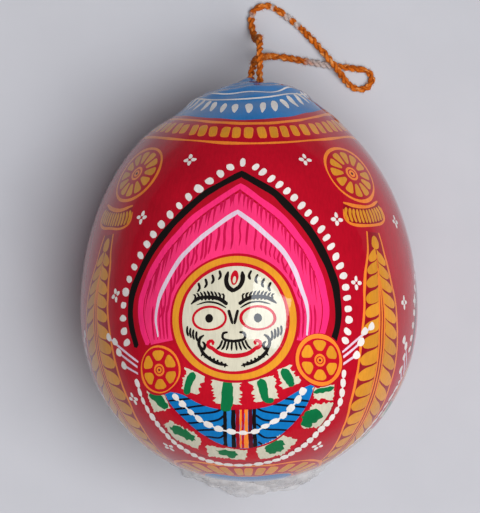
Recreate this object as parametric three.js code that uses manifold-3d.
// Painted coconut with a deity's face, lying on its back.
//
// The nut lies face up. Its axis runs along +Y to the tuft of husk fibre, which is 6 degrees lower than
// the blunt end. A cord is glued into two holes in the tuft, drops to the surface and lies there in its
// loop, and a wad of crumpled clear film props the blunt end.
// Millimetres. +Z is up, away from the surface, and +X is to the right of the face.

import * as THREE from 'three';
import { mergeVertices } from 'three/addons/utils/BufferGeometryUtils.js';
import Module from 'manifold-3d';

const wasm = await Module();
wasm.setup();

// The nut
const NUT_RADIUS = 57.5;
const SHOULDER_RISE = 1.3 * NUT_RADIUS; // from the widest plane to the top that the shoulder heads for
const TUFT_RISE = 1.388 * NUT_RADIUS; // from the widest plane to the tuft's tip
const NUB_HEIGHT = 2.3; // the nub of fibre in the middle of the tuft's crown
const NUB_RADIUS = 6;
const CROWN_FALL = 0.0113; // how far the crown falls outwards, times the radius squared
const LOPSIDED = 1.3; // how much higher the crown is to the right, and lower to the left
const TUFT_INNER = 0.28 * NUT_RADIUS; // all crown inside this radius
const TUFT_OUTER = 0.46 * NUT_RADIUS; // all shoulder outside this one
const BLUNT_DEPTH = 1.02 * NUT_RADIUS;
const FULLNESS = 2.05; // the power of both halves' curves: 2 is an ellipse
const RIDGES = 3;
const RIDGE_HEIGHT = 0.012; // of the radius: a coconut is slightly three-sided
const TILT = THREE.MathUtils.degToRad( 6 );
const FLAT_CUT = 0.8; // how deep the small flat spot under the back is cut
const NUT_SIDES = 60;
const NUT_RINGS = 36;

// The cord and its holes in the tuft
const CORD_DIAMETER = 2.6;
const CORD_SIDES = 8;
const CORD_STEPS = 78;
const HOLE_DIAMETER = 3.4;
const HOLE_DEPTH = 3;
const GAP = 0.3; // between pieces that touch
const HOLLOW_RADIUS = 3.2; // the dip in the fibre beside the right hole
const HOLLOW_PLACE = new THREE.Vector3( 2.2, - 0.1, 1 ); // its middle, from where the cord leaves

// The wad of film: a low cushion, oval in plan
const WAD_CENTRE = new THREE.Vector2( 1.5, - 40.5 ); // from the nut's widest plane
const WAD_HALF_WIDTH = 32;
const WAD_HALF_DEPTH = 27.5;
const WAD_HEIGHT = 20;
const WAD_CREASE = 0.055; // how far its creases cut in, as a share of its radius
const WAD_FOLDS = [ 9, 5 ]; // two trains of creases round it
const WAD_SIDES = 44;
const WAD_RINGS = 9;

// The nut's meridian, from the blunt pole to the tuft's tip: [radius, height along the axis]
function meridian( t ) {

	const angle = Math.PI * ( t - 0.5 );
	const across = Math.cos( angle );
	const along = Math.sin( angle );

	// How far a superellipse reaches in this direction
	const reach = ( across ** FULLNESS + Math.abs( along ) ** FULLNESS ) ** ( - 1 / FULLNESS );
	const radius = NUT_RADIUS * across * reach;
	if ( along < 0 ) return [ radius, BLUNT_DEPTH * along * reach ];

	const shoulder = SHOULDER_RISE * along * reach;
	const crown = TUFT_RISE - NUB_HEIGHT * smooth( radius, 0, NUB_RADIUS ) - CROWN_FALL * radius ** 2;
	return [ radius, THREE.MathUtils.lerp( crown, shoulder, smooth( radius, TUFT_INNER, TUFT_OUTER ) ) ];

}

function smooth( value, low, high ) {

	const x = THREE.MathUtils.clamp( ( value - low ) / ( high - low ), 0, 1 );
	return x * x * ( 3 - 2 * x );

}

// How far the slightly three-sided form stands from a round one, with a ridge in front, where turn is 0
function threeSided( turn, height ) {

	const fade = Math.cos( Math.PI * 0.5 * THREE.MathUtils.clamp( height / SHOULDER_RISE, - 1, 1 ) );
	return 1 + RIDGE_HEIGHT * fade * Math.cos( RIDGES * turn );

}

// How far the tuft's crown stands up to the right of its middle, and down to the left
function lopsided( turn, radius, height ) {

	if ( height < 0 ) return 0;
	return LOPSIDED * Math.sin( turn ) * smooth( radius, 4, 16 ) * ( 1 - smooth( radius, 26, 38 ) );

}

// A closed mesh from rings of points between a first and a last pole
function skin( rings, first, last ) {

	const sides = rings[ 0 ].length;
	const points = [ first, ...rings.flat(), last ];
	const faces = [];
	const at = ( ring, side ) => 1 + ring * sides + side % sides;

	for ( let side = 0; side < sides; side ++ ) {

		faces.push( 0, at( 0, side + 1 ), at( 0, side ) );
		faces.push( points.length - 1, at( rings.length - 1, side ), at( rings.length - 1, side + 1 ) );

		for ( let ring = 0; ring < rings.length - 1; ring ++ ) {

			faces.push( at( ring, side ), at( ring + 1, side + 1 ), at( ring + 1, side ) );
			faces.push( at( ring, side ), at( ring, side + 1 ), at( ring + 1, side + 1 ) );

		}

	}

	const geometry = new THREE.BufferGeometry().setFromPoints( points );
	geometry.setIndex( faces );
	return geometry;

}

// The whole nut, grown outwards by that much, with its axis along +Y and its face to +Z
function nutGeometry( grown ) {

	const rings = [];

	for ( let ring = 1; ring < NUT_RINGS; ring ++ ) {

		const [ radius, height ] = meridian( ring / NUT_RINGS );
		const share = 1 + grown / NUT_RADIUS;

		rings.push( Array.from( { length: NUT_SIDES }, ( _, side ) => {

			const turn = side / NUT_SIDES * Math.PI * 2;
			const r = radius * threeSided( turn, height ) * share;
			const h = ( height + lopsided( turn, radius, height ) ) * share;
			return new THREE.Vector3( r * Math.sin( turn ), h, r * Math.cos( turn ) );

		} ) );

	}

	const poles = [ - BLUNT_DEPTH - grown, TUFT_RISE + grown ].map( y => new THREE.Vector3( 0, y, 0 ) );
	return skin( rings, ...poles );

}

function solidOf( geometry, matrix = new THREE.Matrix4() ) {

	const bare = geometry.clone().applyMatrix4( matrix );
	bare.deleteAttribute( 'normal' );
	bare.deleteAttribute( 'uv' );
	const merged = mergeVertices( bare, 1e-4 );
	return new wasm.Manifold( new wasm.Mesh( {
		numProp: 3,
		vertProperties: new Float32Array( merged.attributes.position.array ),
		triVerts: new Uint32Array( merged.index.array )
	} ) );

}

function geometryOf( solid ) {

	const mesh = solid.getMesh();
	const geometry = new THREE.BufferGeometry();
	geometry.setAttribute( 'position', new THREE.BufferAttribute( mesh.vertProperties, 3 ) );
	geometry.setIndex( new THREE.BufferAttribute( mesh.triVerts, 1 ) );
	geometry.computeVertexNormals();
	return geometry;

}

// How the nut lies: its tuft tipped down, and its back low enough for the flat spot to be cut at 0
const tipped = new THREE.Matrix4().makeRotationX( - TILT );
const lowest = Math.min( ...Array.from( { length: 721 }, ( _, i ) => {

	const [ radius, height ] = meridian( i / 720 );
	const back = new THREE.Vector3( 0, height, - radius * threeSided( Math.PI, height ) );
	return back.applyMatrix4( tipped ).z;

} ) );
const AXIS_HEIGHT = - lowest - FLAT_CUT;

// The part's origin is in the middle of the nut and its wad, seen from above
const tipY = TUFT_RISE * Math.cos( TILT );
const wadY = WAD_CENTRE.y - WAD_HALF_DEPTH;
const ORIGIN_Y = ( tipY + wadY ) / 2;
const lying = new THREE.Matrix4().makeTranslation( 0, - ORIGIN_Y, AXIS_HEIGHT ).multiply( tipped );

// The cord's route along its middle, chosen by hand: out of the tuft's right hole, down to the surface,
// round the big loop, over itself in a low hump, round the small loop, and back up into the left hole
const CORD_ROUTE = [
	[ 3.7, 69.9, 48.9 ], [ 3.7, 72.7, 48.6 ], [ 3.7, 76.5, 48.2 ], [ 3.7, 80.5, 47.5 ], [ 3.7, 84.3, 45.4 ],
	[ 3.6, 87.0, 41.4 ], [ 3.4, 87.9, 35.0 ], [ 3.2, 88.0, 26.0 ], [ 2.8, 88.1, 16.0 ], [ 2.3, 88.9, 8.0 ],
	[ 1.6, 91.6, 3.2 ], [ 0.9, 95.6, 1.6 ], [ 1.9, 99.1, 1.4 ], [ 5.6, 100.7, 1.4 ], [ 9.9, 99.4, 1.4 ],
	[ 14.3, 96.2, 1.4 ], [ 19.4, 91.9, 1.5 ], [ 24.8, 86.1, 2.6 ], [ 30.2, 79.6, 4.5 ], [ 33.0, 75.8, 3.2 ],
	[ 35.3, 73.0, 1.7 ], [ 38.9, 71.3, 1.4 ], [ 42.3, 72.4, 1.4 ], [ 43.5, 75.2, 1.4 ], [ 41.8, 77.7, 1.4 ],
	[ 37.6, 78.6, 1.4 ], [ 31.6, 79.3, 1.4 ], [ 24.8, 80.3, 1.4 ], [ 18.2, 81.5, 1.4 ], [ 12.6, 82.5, 1.6 ],
	[ 8.3, 82.8, 4.0 ], [ 5.7, 82.4, 9.5 ], [ 4.4, 81.9, 17.0 ], [ 3.4, 81.3, 26.0 ], [ 2.7, 80.6, 33.5 ],
	[ 2.0, 79.3, 39.6 ], [ 1.3, 77.1, 43.8 ], [ 0.7, 74.5, 45.7 ], [ 0.6, 70.9, 46.2 ],
].map( p => new THREE.Vector3( ...p ) );

const route = new THREE.CatmullRomCurve3( CORD_ROUTE );
route.arcLengthDivisions = 2000;

function circle( diameter, sides ) {

	const shape = new THREE.Shape();
	shape.absarc( 0, 0, diameter / 2, 0, Math.PI * 2 );
	return new THREE.Shape( shape.getPoints( sides ).slice( 0, sides ) );

}

// A round hole drilled into the tuft, in line with the end of the cord that it takes
function holeFor( end, next ) {

	const out = next.clone().sub( end ).normalize();
	const length = 4 * HOLE_DEPTH; // well past the fibre
	const drill = new THREE.CylinderGeometry( HOLE_DIAMETER / 2, HOLE_DIAMETER / 2, length, 16 );
	drill.translate( 0, length / 2 - GAP, 0 );
	const turned = new THREE.Quaternion().setFromUnitVectors( new THREE.Vector3( 0, 1, 0 ), out );
	return solidOf( drill, new THREE.Matrix4().compose( end, turned, new THREE.Vector3( 1, 1, 1 ) ) );

}

function coconut() {

	const last = CORD_ROUTE.length - 1;
	const span = 4 * NUT_RADIUS;
	const under = new THREE.BoxGeometry( span, span, span ).translate( 0, 0, - span / 2 );
	const hollow = new THREE.IcosahedronGeometry( HOLLOW_RADIUS, 2 );
	const beside = CORD_ROUTE[ 1 ].clone().add( HOLLOW_PLACE );

	const solid = solidOf( nutGeometry( 0 ), lying )
		.subtract( solidOf( under ) )
		.subtract( holeFor( CORD_ROUTE[ 0 ], CORD_ROUTE[ 1 ] ) )
		.subtract( holeFor( CORD_ROUTE[ last ], CORD_ROUTE[ last - 1 ] ) )
		.subtract( solidOf( hollow, new THREE.Matrix4().setPosition( beside ) ) );
	return geometryOf( solid );

}

function hangingCord() {

	return new THREE.ExtrudeGeometry( circle( CORD_DIAMETER, CORD_SIDES ), {
		steps: CORD_STEPS,
		extrudePath: route
	} );

}

// A low lumpy cushion of crumpled film, with the nut's own curve pressed into it
function filmWad() {

	const rings = [];

	for ( let ring = 0; ring < WAD_RINGS; ring ++ ) {

		const rise = ring / WAD_RINGS * Math.PI / 2;

		rings.push( Array.from( { length: WAD_SIDES }, ( _, side ) => {

			const turn = side / WAD_SIDES * Math.PI * 2;
			const creased = 1 + WAD_CREASE * crumple( turn, rise );
			const out = Math.cos( rise ) * creased;
			return new THREE.Vector3(
				WAD_CENTRE.x + WAD_HALF_WIDTH * out * Math.cos( turn ),
				WAD_CENTRE.y + WAD_HALF_DEPTH * out * Math.sin( turn ),
				WAD_HEIGHT * Math.sin( rise ) * creased
			);

		} ) );

	}

	const foot = new THREE.Vector3( WAD_CENTRE.x, WAD_CENTRE.y, 0 );
	const top = new THREE.Vector3( WAD_CENTRE.x, WAD_CENTRE.y, WAD_HEIGHT );
	const dome = skin( rings, foot, top );
	const moved = new THREE.Matrix4().makeTranslation( 0, - ORIGIN_Y, 0 );
	return geometryOf( solidOf( dome, moved ).subtract( solidOf( nutGeometry( GAP ), lying ) ) );

}

// Creases that run up the wad and wander round it, between -1 and 0 so that they only cut in
function crumple( turn, rise ) {

	const [ fine, broad ] = WAD_FOLDS;
	const folds = Math.sin( turn * fine + 2 * rise ) + Math.sin( turn * broad - 3 * rise + 1 );
	return ( folds - 2 ) / 4;

}

function piece( name, geometry, colour, roughness, extra = {} ) {

	const material = new THREE.MeshStandardMaterial( { color: colour, roughness, metalness: 0, ...extra } );
	const mesh = new THREE.Mesh( geometry, material );
	mesh.name = name;
	return mesh;

}

const figure = new THREE.Group();
figure.add( piece( 'painted_coconut', coconut(), 0xb8102a, 0.2 ) );
figure.add( piece( 'hanging_cord', hangingCord(), 0xc0600f, 0.9 ) );
figure.add( piece( 'clear_film_wad', filmWad(), 0xc8c8cc, 0.15, { transparent: true, opacity: 0.35 } ) );

export default figure;
